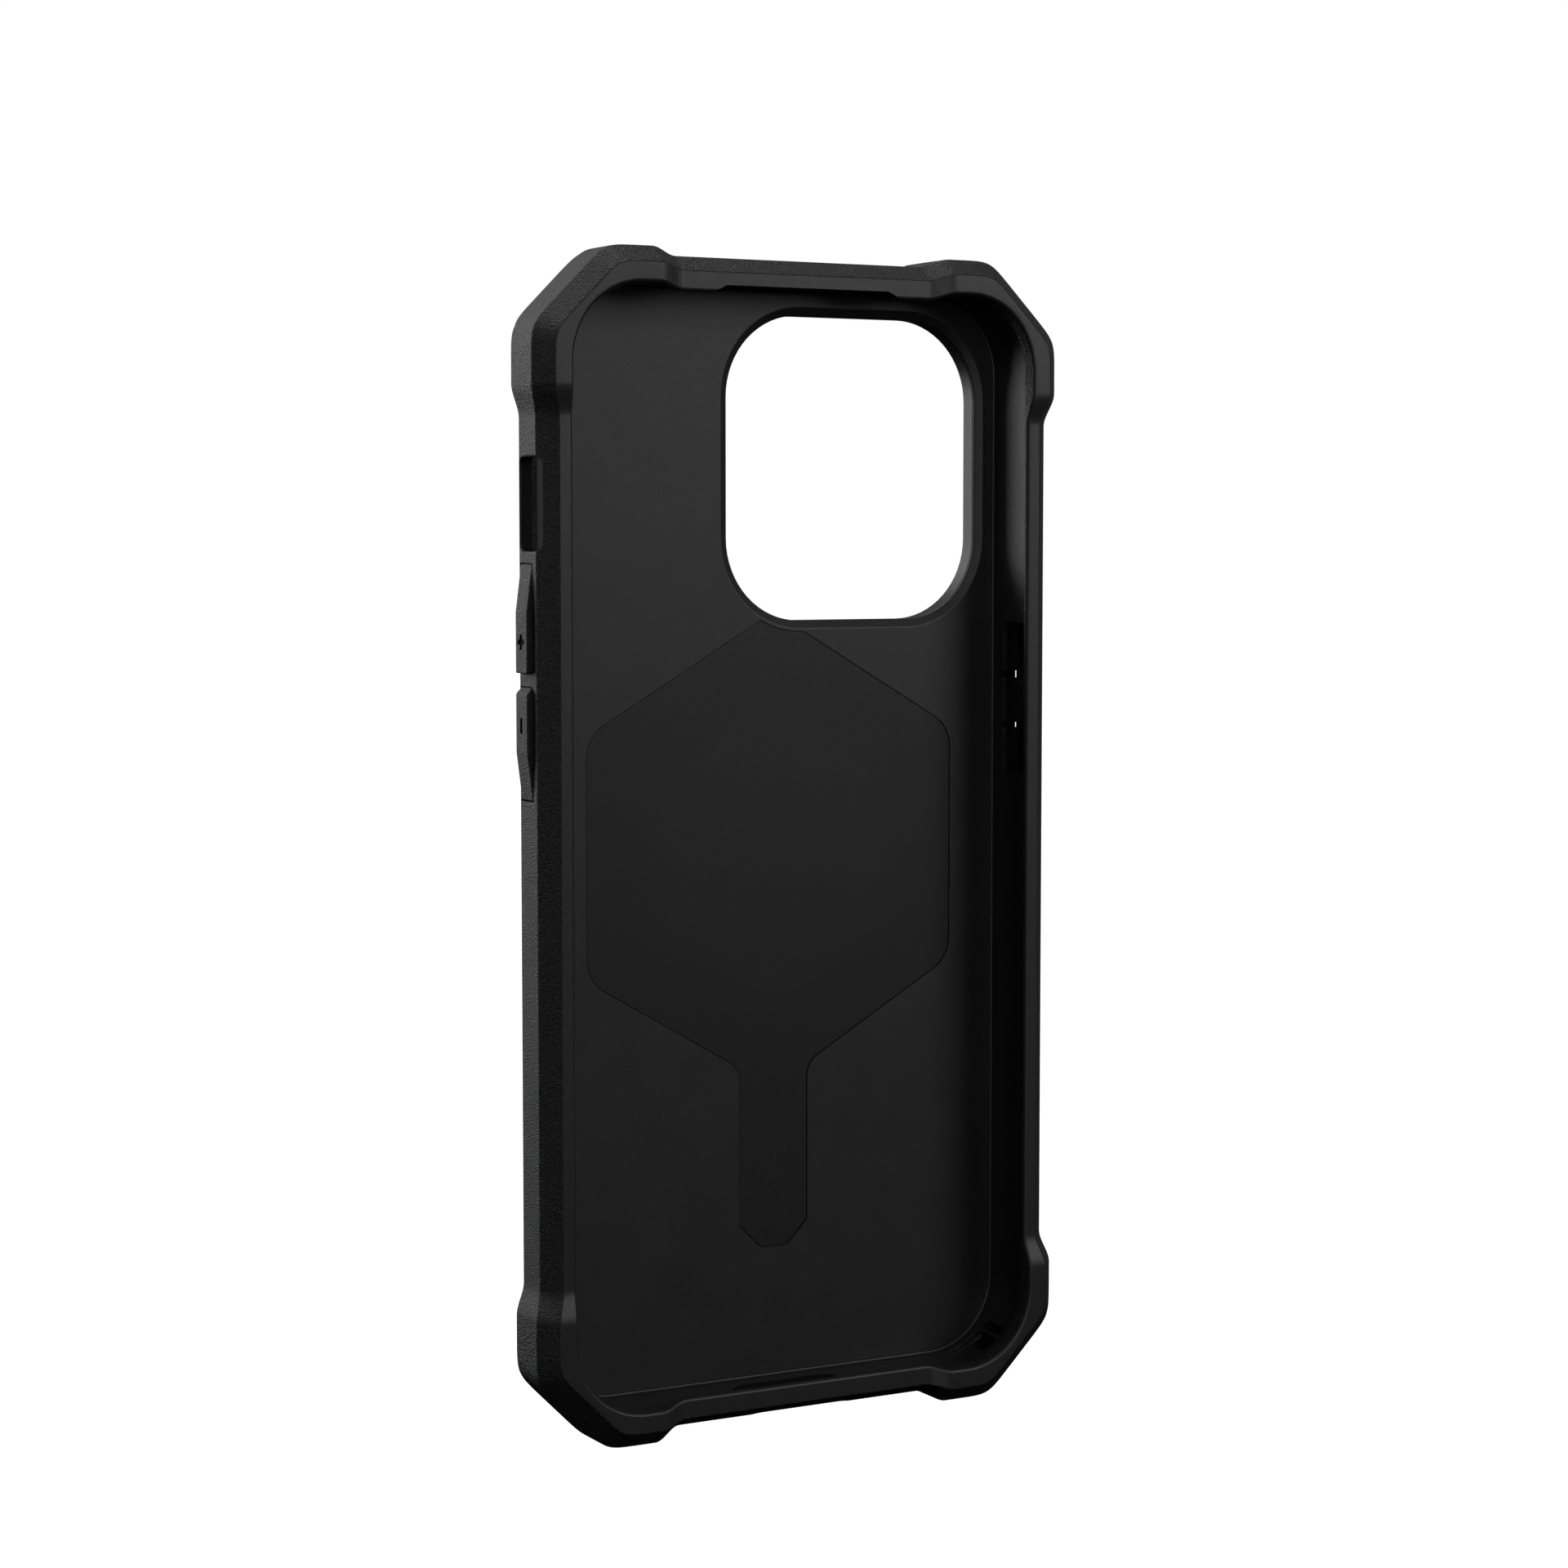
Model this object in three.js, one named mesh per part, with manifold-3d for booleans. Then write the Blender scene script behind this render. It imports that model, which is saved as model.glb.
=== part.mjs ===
// Rugged case for a 6.1-inch class phone (147.5 x 71.5 x 7.85 mm), with a magnetic charging ring in its back.
//
// X points right and Z up as seen from the open screen side, and Y points to the back. All sizes are in mm.
// Heights count from the middle of the phone, and depths from the front face of the side rails. The last
// lines of the file stand the case on its two bottom corner bumpers, with the origin between them.

import * as THREE from 'three';
import { mergeVertices } from 'three/addons/utils/BufferGeometryUtils.js';
import Module from 'manifold-3d';

const wasm = await Module();
wasm.setup();

// ---------------------------------------------------------------- driving dimensions

const LAYER_GAP = 0.1; // between moulded layers that lie on each other
const BUTTON_GAP = 0.15; // round each button, on every side
const BUTTON_TRAVEL = 0.4;
const THROUGH = 20; // reach of a cutter that passes right through a wall
const OVERCUT = 1; // how far a cutter runs past a face that it cuts
const OVERLAP = 0.2; // how far solids that are joined run into each other
const CURVE_SEGMENTS = 8;
const RING_SEGMENTS = 48;

// The four corner curves are drawn around the corners of this rectangle.
const SPINE = { x: 24.7, z: 63.1 };

// Outlines round the case. A rail is the straight stretch between two corner bumpers, and the outline grows
// from its rail size to its bumper size along a ramp. `cut` is |x| + |z| on the diagonal face of a corner, at
// the top and at the bottom.
const LIP = {
	rail: { width: 34.72, top: 72.75, bottom: 72.75 },
	bumper: { width: 35.05, height: 73.7 },
};
const RIDGE = {
	rail: { width: 36.27, top: 75.05, bottom: 75.05 },
	bumper: { width: 37.25, height: 75.95 },
	cut: { top: 104.05, bottom: 104.05 },
};
const OUTER = {
	rail: { width: 38.5, top: 77.0, bottom: 76.5 },
	bumper: { width: 39.5, height: 78.1 },
	cut: { top: 107.1, bottom: 107.6 },
};
const HEEL = {
	rail: { width: 35.9, top: 74.4, bottom: 74.4 },
	bumper: { width: 36.9, height: 78.1 },
	cut: { top: 105.4, bottom: 106.0 },
};
const CAVITY = {
	rail: { width: 35.9, top: 74.3, bottom: 74.3 },
	bumper: { width: 35.9, height: 74.3 },
};

const CORNER_SHARPNESS = 24; // a higher number gives the diagonal corner faces sharper ends
const CORNER_STEPS = 10;
const RAMP_STEPS = 4;
const SIDE_RAMP = { start: 56, end: 60.4 }; // distances from the middle of the side rails
const END_RAMP = { start: 18.3, end: 22.4 }; // distances from the middle of the top and bottom rails

// Depths.
const BUMPER_FRONT = -1.06; // the lip face stands forward at the corner bumpers
const LIP_BACK = 0.95;
const CHAMFER = 2.45; // depth of the front chamfer
const SIDE_BACK = 7.5; // where the flat side face ends
const FLOOR = 9.78;
const LINER_BACK = 10.6;
const SEAT = 10.5; // end of the wall's foot, where the hard shell starts
const RAIL_BACK = 10.7;
const BUMPER_BACK = 12.6;
const SHELL_FRONT = LINER_BACK + LAYER_GAP;
const SHELL_BACK = 12.4;
const BEZEL_BACK = 13.27;

const FOOT = 1.15; // width of the frame's foot under the edge of the floor
const WALL_CURVE = 0.8; // how far the cavity's wall curves in towards the floor, as the phone's side does
const WALL_BEND = { front: 3.2, middle: 5.0, back: 6.8, middleInset: 0.08, backInset: 0.3 };
const SHELL_SEAT_INSET = 0.2; // from the cavity's outline to the pocket that the hard shell sits in
const SHELL_EDGE_SLOPE = 1.2; // how far the shell's edge leans in from its front to its back

const CAMERA = { x: 12.6, z: 50.04, halfWidth: 19.49, halfHeight: 20.47, radius: 11.1, bevel: 1.1 };
const BEZEL_WALL = 0.9;
const BEZEL_FLANGE = { width: 1.9, front: SHELL_BACK + LAYER_GAP };

const NOTCH = { z: 73.35, halfWidth: 12.2, slope: 1.2 }; // earpiece relief in the top lip

// Magnetic ring, and the hexagonal cover with a stem that hides it.
const RING = { z: -1.5, inner: 23, outer: 27, count: 18, gapDegrees: 0.8 };
const COVER = {
	apothem: 28.03,
	cornerCut: 5,
	stemHalfWidth: 5.27,
	stemBottom: -55.7,
	stemCut: 3.2,
	stemFillet: 3.2,
};
const COVER_FRONT = FLOOR + 0.1;
const COVER_RIM_CLEARANCE = 0.36; // between the camera opening's bevel and the cover
const MAGNET = { front: 10.75, back: 11.4 };
const SHIELD = { front: 11.45, back: 11.7 };
const MAGNET_POCKET_BACK = SHIELD.back + 0.05;
const BAR_MAGNET = { halfWidth: 3.0, top: -34.5, bottom: -53.5 };

// Side controls: z ranges run along the rail, y ranges across it.
const SWITCH_OPENING = {
	y: [1.7, 7.3],
	z: [39.0, 51.0],
	stepX: 36.8, // the opening is wider from here inwards
	innerBack: 9.0,
	innerMargin: 0.4,
};
const PAD_Y = [3.6, 7.1];
const PAD_HEIGHT = 0.8; // how far a pad stands out of the side face
const VOLUME_UP = { z: [23.4, 37.4], crest: [23.4, 31.2], glyphZ: 27.4 };
const VOLUME_DOWN = { z: [7.0, 21.6], crest: [13.3, 20.8], glyphZ: 16.7 };
const GLYPH = { y: 5.4, arm: 1.0, stroke: 0.24, depth: 0.3 };
const BUTTON_FLANGE = { margin: 0.5, outerX: 37.1, innerX: 36.5 };
const BUTTON_NUB = { innerX: 36.2, half: 1.6, inset: 0.6 };

const POWER = { z: [9.0, 28.0], crest: [11.0, 26.0], stem: [15.4, 21.0], barX: 38.0, nubX: 36.1 };
const POWER_RECESS = { y: [3.0, 7.8], z: [8.0, 29.0], depthX: 36.75 };
const POWER_POCKETS = [[8.2, 14.2], [23.0, 28.8]];
const POWER_POCKET = { y: [3.2, 5.9], depthX: 37.1 };
const RELIEF_SLITS = { y: [6.4, 8.3], z: [[14.3, 15.1], [21.25, 22.3]] };

const PORT = { halfWidth: 8.5, y: [2.1, 7.9] };
const LANYARD_SLOTS = [
	{ angle: -39.5, width: 1.4, y: [3.9, 8.0] },
	{ angle: -52.5, width: 2.6, y: [4.1, 7.9] },
];

// ---------------------------------------------------------------- materials

const softBlack = () => new THREE.MeshStandardMaterial({ color: 0x141415, roughness: 0.62, metalness: 0 });
const hardBlack = () => new THREE.MeshStandardMaterial({ color: 0x101011, roughness: 0.45, metalness: 0 });
const filmBlack = () => new THREE.MeshStandardMaterial({ color: 0x0d0d0e, roughness: 0.5, metalness: 0 });
const nickel = () => new THREE.MeshStandardMaterial({ color: 0xb9bbbd, roughness: 0.3, metalness: 1 });
const steel = () => new THREE.MeshStandardMaterial({ color: 0x8d8f92, roughness: 0.4, metalness: 1 });

// ---------------------------------------------------------------- solids

const lerp = THREE.MathUtils.lerp;

function toSolid(geometry) {
	const bare = geometry.clone();
	bare.deleteAttribute('normal');
	bare.deleteAttribute('uv');
	const merged = mergeVertices(bare, 1e-4);
	const vertProperties = new Float32Array(merged.getAttribute('position').array);
	const triVerts = new Uint32Array(merged.getIndex().array);
	return new wasm.Manifold(new wasm.Mesh({ numProp: 3, vertProperties, triVerts }));
}

function toGeometry(solid) {
	const { vertProperties, triVerts } = solid.getMesh();
	const geometry = new THREE.BufferGeometry();
	geometry.setAttribute('position', new THREE.BufferAttribute(vertProperties, 3));
	geometry.setIndex(new THREE.BufferAttribute(triVerts, 1));
	return geometry;
}

function cut(geometry, cutters) {
	const start = toSolid(geometry);
	return toGeometry(cutters.reduce((solid, cutter) => solid.subtract(toSolid(cutter)), start));
}

function join(geometries) {
	const [first, ...others] = geometries.map(toSolid);
	return toGeometry(others.reduce((solid, other) => solid.add(other), first));
}

function block([x0, x1], [y0, y1], [z0, z1]) {
	const box = new THREE.BoxGeometry(x1 - x0, y1 - y0, z1 - z0);
	return box.translate((x0 + x1) / 2, (y0 + y1) / 2, (z0 + z1) / 2);
}

// A plate whose outline is drawn in X and Z, from the depth `front` to the depth `back`.
function plate(shape, front, back, segments = CURVE_SEGMENTS) {
	const settings = { depth: back - front, bevelEnabled: false, curveSegments: segments };
	return new THREE.ExtrudeGeometry(shape, settings).rotateX(Math.PI / 2).translate(0, back, 0);
}

function polygon(points) {
	return new THREE.Shape(points.map(([x, z]) => new THREE.Vector2(x, z)));
}

function roundedRectangle({ x, z, halfWidth, halfHeight, radius }, grow = 0) {
	const r = radius + grow;
	const w = halfWidth - radius;
	const h = halfHeight - radius;
	const shape = new THREE.Shape();
	shape.absarc(x + w, z + h, r, 0, Math.PI / 2);
	shape.absarc(x - w, z + h, r, Math.PI / 2, Math.PI);
	shape.absarc(x - w, z - h, r, Math.PI, Math.PI * 1.5);
	shape.absarc(x + w, z - h, r, Math.PI * 1.5, Math.PI * 2);
	return shape;
}

// Joins closed loops with the same number of points into one solid. A closed stack runs from its last loop
// back to its first, as a ring does; an open stack is capped at both ends.
function loft(loops, closed) {
	const count = loops[0].length;
	const positions = loops.flat().flatMap((point) => point.toArray());
	const index = [];
	const bands = closed ? loops.length : loops.length - 1;
	for (let i = 0; i < bands; i++) {
		const near = i * count;
		const far = ((i + 1) % loops.length) * count;
		for (let j = 0; j < count; j++) {
			const next = (j + 1) % count;
			index.push(near + j, far + j, far + next, near + j, far + next, near + next);
		}
	}
	if (!closed) {
		const last = (loops.length - 1) * count;
		const flat = (loop) => loop.map((point) => new THREE.Vector2(point.x, point.z));
		for (const [a, b, c] of THREE.ShapeUtils.triangulateShape(flat(loops[0]), [])) index.push(a, b, c);
		for (const [a, b, c] of THREE.ShapeUtils.triangulateShape(flat(loops.at(-1)), [])) {
			index.push(last + a, last + c, last + b);
		}
	}
	const geometry = new THREE.BufferGeometry();
	geometry.setAttribute('position', new THREE.Float32BufferAttribute(positions, 3));
	geometry.setIndex(index);
	return geometry;
}

// ---------------------------------------------------------------- outlines round the case

// Distance from the spine to an outline, in a direction, where `bump` is 0 on a rail and 1 at a bumper.
function reach({ rail, bumper, cut: diagonals }, direction, bump) {
	const end = direction.z < 0 ? 'bottom' : 'top';
	const width = lerp(rail.width, bumper.width, bump) - SPINE.x;
	const height = lerp(rail[end], bumper.height, bump) - SPINE.z;
	const across = Math.abs(direction.x);
	const along = Math.abs(direction.z);
	if (!diagonals) return 1 / Math.hypot(across / width, along / height);
	const diagonal = diagonals[end] - SPINE.x - SPINE.z;
	const faces = [across / width, along / height, (across + along) / diagonal];
	return faces.reduce((sum, face) => sum + face ** CORNER_SHARPNESS, 0) ** (-1 / CORNER_SHARPNESS);
}

function rampStops(ramp) {
	const rising = Array.from({ length: RAMP_STEPS + 1 }, (_, i) => {
		const t = i / RAMP_STEPS;
		return { at: lerp(ramp.start, ramp.end, t), bump: THREE.MathUtils.smoothstep(t, 0, 1) };
	});
	const falling = rising.map(({ at, bump }) => ({ at: -at, bump })).reverse();
	return [...falling, ...rising];
}

// Stations all round the case, anticlockwise from the lower end of the right side. Each holds a point of the
// spine, the direction outwards from it, and `bump`.
function perimeter() {
	const stations = [];
	for (let side = 0; side < 4; side++) {
		const start = (side * Math.PI) / 2;
		const outward = new THREE.Vector3(Math.round(Math.cos(start)), 0, Math.round(Math.sin(start)));
		const along = new THREE.Vector3(-outward.z, 0, outward.x);
		const spine = new THREE.Vector3(SPINE.x, 0, SPINE.z);
		const middle = outward.clone().multiply(spine);
		const corner = along.clone().add(outward).multiply(spine);
		for (const { at, bump } of rampStops(side % 2 ? END_RAMP : SIDE_RAMP)) {
			stations.push({ base: middle.clone().addScaledVector(along, at), outward, bump });
		}
		for (let step = 0; step <= CORNER_STEPS; step++) {
			const angle = start + ((step / CORNER_STEPS) * Math.PI) / 2;
			const direction = new THREE.Vector3(Math.cos(angle), 0, Math.sin(angle));
			stations.push({ base: corner, outward: direction, bump: 1 });
		}
	}
	return stations;
}

const STATIONS = perimeter();

// One loop round the case on an outline. `depth` is a number, or a function of the station's bump.
function loop(outline, depth, inset = 0) {
	return STATIONS.map(({ base, outward, bump }) => {
		const point = base.clone().addScaledVector(outward, reach(outline, outward, bump) - inset);
		point.y = typeof depth === 'function' ? depth(bump) : depth;
		return point;
	});
}

// ---------------------------------------------------------------- soft bumper frame

function frameRing() {
	const front = (bump) => BUMPER_FRONT * bump;
	const chamferEnd = (bump) => front(bump) + CHAMFER;
	const back = (bump) => lerp(RAIL_BACK, BUMPER_BACK, bump);
	return loft([
		loop(LIP, front),
		loop(RIDGE, front),
		loop(OUTER, chamferEnd),
		loop(OUTER, SIDE_BACK),
		loop(HEEL, back),
		loop(CAVITY, back, SHELL_SEAT_INSET),
		loop(CAVITY, SEAT, SHELL_SEAT_INSET),
		loop(CAVITY, SEAT, FOOT),
		loop(CAVITY, FLOOR, FOOT),
		loop(CAVITY, FLOOR, WALL_CURVE),
		loop(CAVITY, WALL_BEND.back, WALL_BEND.backInset),
		loop(CAVITY, WALL_BEND.middle, WALL_BEND.middleInset),
		loop(CAVITY, WALL_BEND.front),
		loop(CAVITY, LIP_BACK),
		loop(LIP, LIP_BACK),
	], true);
}

function grow([low, high], margin) {
	return [low - margin, high + margin];
}

// Opening for the ring/silent switch, stepped wider on the inside of the left wall.
function switchOpening() {
	const { y, z, stepX, innerBack, innerMargin } = SWITCH_OPENING;
	const outside = block([-OUTER.rail.width - THROUGH, -LIP.rail.width], y, z);
	const inside = block([-stepX, -LIP.rail.width], [y[0], innerBack], grow(z, innerMargin));
	return [outside, inside];
}

// Window for a volume button in the left wall, with a wider pocket inside for the button's flange.
function volumeWindow({ z }) {
	const pocketX = BUTTON_FLANGE.outerX + BUTTON_GAP;
	const windowX = [-OUTER.rail.width - THROUGH, OVERCUT - pocketX];
	const window = block(windowX, grow(PAD_Y, BUTTON_GAP), grow(z, BUTTON_GAP));
	const margin = BUTTON_FLANGE.margin + BUTTON_GAP;
	const pocket = block([-pocketX, -LIP.rail.width], grow(PAD_Y, margin), grow(z, margin));
	return [window, pocket];
}

// Everything cut into the right wall for the power button.
function powerCutters() {
	const inner = LIP.rail.width;
	const outer = OUTER.rail.width + THROUGH;
	const barSeat = [POWER.barX - BUTTON_TRAVEL - BUTTON_GAP, outer];
	const recess = block([inner, POWER_RECESS.depthX], POWER_RECESS.y, POWER_RECESS.z);
	const seat = block(barSeat, grow(PAD_Y, BUTTON_GAP), grow(POWER.z, BUTTON_GAP));
	const window = block([inner, outer], grow(PAD_Y, BUTTON_GAP), grow(POWER.stem, BUTTON_GAP));
	const pockets = POWER_POCKETS.map((z) => block([inner, POWER_POCKET.depthX], POWER_POCKET.y, z));
	const slits = RELIEF_SLITS.z.map((z) => block([inner, outer], RELIEF_SLITS.y, z));
	return [recess, seat, window, ...pockets, ...slits];
}

function portOpening() {
	const { halfWidth, y } = PORT;
	const radius = (y[1] - y[0]) / 2;
	const middle = (y[0] + y[1]) / 2;
	const shape = new THREE.Shape();
	shape.absarc(halfWidth - radius, middle, radius, -Math.PI / 2, Math.PI / 2);
	shape.absarc(radius - halfWidth, middle, radius, Math.PI / 2, Math.PI * 1.5);
	const settings = { depth: THROUGH, bevelEnabled: false, curveSegments: CURVE_SEGMENTS };
	return new THREE.ExtrudeGeometry(shape, settings).translate(0, 0, -LIP.rail.bottom - THROUGH);
}

function lanyardSlot({ angle, width, y }) {
	const wall = CAVITY.rail.width - SPINE.x;
	const radians = THREE.MathUtils.degToRad(angle);
	const slot = block([wall - OVERCUT, wall + THROUGH], y, [-width / 2, width / 2]);
	return slot.rotateY(-radians).translate(SPINE.x, 0, -SPINE.z);
}

function earpieceNotch() {
	const { z, halfWidth, slope } = NOTCH;
	const low = LIP.rail.top - slope;
	const spread = (slope * (z - low)) / (z - LIP.rail.top);
	const outline = [[-halfWidth - spread, low], [halfWidth + spread, low], [halfWidth, z], [-halfWidth, z]];
	return plate(polygon(outline), BUMPER_FRONT - OVERCUT, LIP_BACK + OVERCUT);
}

function bumperFrame() {
	return cut(frameRing(), [
		earpieceNotch(),
		portOpening(),
		...switchOpening(),
		...volumeWindow(VOLUME_UP),
		...volumeWindow(VOLUME_DOWN),
		...powerCutters(),
		...LANYARD_SLOTS.map(lanyardSlot),
	]);
}

// ---------------------------------------------------------------- buttons

// Side view of a pad: level along its crest, and falling to the side face at its ends.
function padOutline({ z: [low, high], crest: [crestLow, crestHigh] }, innerX) {
	const face = OUTER.rail.width;
	const top = face + PAD_HEIGHT;
	const outside = [[face, low], [top, crestLow], [top, crestHigh], [face, high]];
	return polygon([[innerX, low], ...outside, [innerX, high]]);
}

function glyphCutters(glyphZ, isPlus) {
	const { y, arm, stroke, depth } = GLYPH;
	const face = OUTER.rail.width + PAD_HEIGHT;
	const depthRange = [face - depth, face + OVERCUT];
	const upright = block(depthRange, [y - stroke, y + stroke], [glyphZ - arm, glyphZ + arm]);
	const crossbar = block(depthRange, [y - arm, y + arm], [glyphZ - stroke, glyphZ + stroke]);
	return isPlus ? [upright, crossbar] : [upright];
}

// A volume button is drawn on the +X side and turned over to the left wall.
function volumeButton(button, isPlus) {
	const { margin, outerX, innerX } = BUTTON_FLANGE;
	const middle = (button.z[0] + button.z[1]) / 2;
	const pad = plate(padOutline(button, outerX - OVERLAP), ...PAD_Y);
	const flange = block([innerX, outerX], grow(PAD_Y, margin), grow(button.z, margin));
	const nubX = [BUTTON_NUB.innerX, innerX + OVERLAP];
	const nub = block(nubX, grow(PAD_Y, -BUTTON_NUB.inset), grow([middle, middle], BUTTON_NUB.half));
	const marked = cut(join([pad, flange, nub]), glyphCutters(button.glyphZ, isPlus));
	return toGeometry(toSolid(marked).mirror([1, 0, 0]));
}

function powerButton() {
	const bar = plate(padOutline(POWER, POWER.barX), ...PAD_Y);
	const stem = block([POWER.nubX, POWER.barX + OVERLAP], PAD_Y, POWER.stem);
	return join([bar, stem]);
}

// ---------------------------------------------------------------- floor, shell and camera bezel

// Hexagon with two upright sides and cut corners, and a stem hanging from its lowest corner.
function coverOutline(shrink) {
	const apothem = COVER.apothem - shrink;
	const side = (2 * apothem) / Math.sqrt(3);
	const stem = COVER.stemHalfWidth - shrink;
	const bottom = COVER.stemBottom + shrink;
	const root = RING.z - side + stem / Math.sqrt(3); // where the stem meets the hexagon's lower sides
	const shape = new THREE.Shape();
	const corner = (x, z, from, to) => {
		shape.lineTo(x + from[0], z + from[1]);
		shape.quadraticCurveTo(x, z, x + to[0], z + to[1]);
	};
	const slant = [Math.cos(Math.PI / 6), Math.sin(Math.PI / 6)].map((part) => part * COVER.cornerCut);
	const fillet = COVER.stemFillet;
	const filletSlant = [fillet * Math.cos(Math.PI / 6), fillet * Math.sin(Math.PI / 6)];
	shape.moveTo(stem, bottom + COVER.stemCut);
	corner(stem, root, [0, -fillet], [filletSlant[0], filletSlant[1]]);
	corner(apothem, RING.z - side / 2, [-slant[0], -slant[1]], [0, COVER.cornerCut]);
	corner(apothem, RING.z + side / 2, [0, -COVER.cornerCut], [-slant[0], slant[1]]);
	shape.lineTo(0, RING.z + side);
	corner(-apothem, RING.z + side / 2, [slant[0], slant[1]], [0, -COVER.cornerCut]);
	corner(-apothem, RING.z - side / 2, [0, COVER.cornerCut], [slant[0], -slant[1]]);
	corner(-stem, root, [-filletSlant[0], filletSlant[1]], [0, -fillet]);
	shape.lineTo(-stem, bottom + COVER.stemCut);
	shape.lineTo(COVER.stemCut - stem, bottom);
	shape.lineTo(stem - COVER.stemCut, bottom);
	return shape;
}

// The cover stops short of the camera opening's bevel.
function coverPlate(shrink, front, back) {
	const clearance = CAMERA.bevel + COVER_RIM_CLEARANCE + shrink;
	const rim = plate(roundedRectangle(CAMERA, clearance), front - OVERCUT, back + OVERCUT);
	return cut(plate(coverOutline(shrink), front, back), [rim]);
}

// Cutter for the camera opening in the floor, wide at the front and narrowing over the bevel.
function cameraBevel() {
	const outline = (margin, depth) => {
		const points = roundedRectangle(CAMERA, margin).getPoints(CURVE_SEGMENTS);
		return points.map((point) => new THREE.Vector3(point.x, depth, point.y));
	};
	const slope = (CAMERA.bevel * OVERCUT) / (LINER_BACK - FLOOR);
	return loft([
		outline(CAMERA.bevel + slope, FLOOR - OVERCUT),
		outline(-slope, LINER_BACK + OVERCUT),
	], false);
}

function floorLiner() {
	const inset = FOOT + LAYER_GAP;
	const sheet = loft([loop(CAVITY, FLOOR, inset), loop(CAVITY, LINER_BACK, inset)], false);
	return cut(sheet, [cameraBevel(), coverPlate(0, FLOOR - OVERCUT, LINER_BACK + OVERCUT)]);
}

function ringShape(inner, outer) {
	const shape = new THREE.Shape().absarc(0, RING.z, outer, 0, Math.PI * 2);
	shape.holes.push(new THREE.Path().absarc(0, RING.z, inner, 0, Math.PI * 2, true));
	return shape;
}

function ringPlate(inner, outer, front, back) {
	return plate(ringShape(inner, outer), front, back, RING_SEGMENTS);
}

function backShell() {
	const edge = SHELL_SEAT_INSET + LAYER_GAP;
	const sheet = loft([
		loop(CAVITY, SHELL_FRONT, edge),
		loop(CAVITY, SHELL_BACK, edge + SHELL_EDGE_SLOPE),
	], false);
	const { halfWidth, top, bottom } = BAR_MAGNET;
	const barWidth = halfWidth + LAYER_GAP;
	const pocketFront = SHELL_FRONT - OVERCUT;
	return cut(sheet, [
		plate(roundedRectangle(CAMERA, BEZEL_WALL + LAYER_GAP), pocketFront, SHELL_BACK + OVERCUT),
		ringPlate(RING.inner - LAYER_GAP, RING.outer + LAYER_GAP, pocketFront, MAGNET_POCKET_BACK),
		block([-barWidth, barWidth], [pocketFront, MAGNET_POCKET_BACK], grow([bottom, top], LAYER_GAP)),
	]);
}

function cameraBezel() {
	const wall = plate(roundedRectangle(CAMERA, BEZEL_WALL), SHELL_FRONT, BEZEL_BACK);
	const flange = plate(roundedRectangle(CAMERA, BEZEL_FLANGE.width), BEZEL_FLANGE.front, BEZEL_BACK);
	const bore = plate(roundedRectangle(CAMERA), SHELL_FRONT - OVERCUT, BEZEL_BACK + OVERCUT);
	return cut(join([wall, flange]), [bore]);
}

// ---------------------------------------------------------------- magnets

function ringMagnet(index) {
	const pitch = (Math.PI * 2) / RING.count;
	const gap = THREE.MathUtils.degToRad(RING.gapDegrees);
	const start = index * pitch + gap / 2;
	const end = (index + 1) * pitch - gap / 2;
	const shape = new THREE.Shape();
	shape.absarc(0, RING.z, RING.outer, start, end);
	shape.absarc(0, RING.z, RING.inner, end, start, true);
	return plate(shape, MAGNET.front, MAGNET.back);
}

function barMagnet() {
	const { halfWidth, top, bottom } = BAR_MAGNET;
	return block([-halfWidth, halfWidth], [MAGNET.front, SHIELD.back], [bottom, top]);
}

// ---------------------------------------------------------------- assembly

const phoneCase = new THREE.Group();

function add(name, geometry, material) {
	const mesh = new THREE.Mesh(geometry, material);
	mesh.name = name;
	phoneCase.add(mesh);
}

add('bumper_frame', bumperFrame(), softBlack());
add('floor_liner', floorLiner(), softBlack());
add('back_shell', backShell(), hardBlack());
add('camera_bezel', cameraBezel(), hardBlack());
add('magnet_cover', coverPlate(LAYER_GAP, COVER_FRONT, LINER_BACK), filmBlack());
add('magnet_shield_ring', ringPlate(RING.inner, RING.outer, SHIELD.front, SHIELD.back), steel());
for (let i = 0; i < RING.count; i++) {
	add(`ring_magnet_${String(i + 1).padStart(2, '0')}`, ringMagnet(i), nickel());
}
add('alignment_magnet', barMagnet(), nickel());
add('volume_up_button', volumeButton(VOLUME_UP, true), softBlack());
add('volume_down_button', volumeButton(VOLUME_DOWN, false), softBlack());
add('power_button', powerButton(), softBlack());

phoneCase.position.set(0, -(BUMPER_FRONT + BEZEL_BACK) / 2, OUTER.bumper.height);

export default phoneCase;
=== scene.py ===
"""Looks of a rugged phone case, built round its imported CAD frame.

The sizes below are in millimetres on the case's own drawing: X points right and Z up from the middle of the
phone, and Y is the depth from the front face of the side rails. drawn() turns them into metres in the row
frame. Each fine mesh takes the place of one CAD node. The magnets and their shield keep their CAD shape.
"""

import math
from typing import NamedTuple

import bmesh
import bpy
from mathutils import Matrix, Vector

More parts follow.
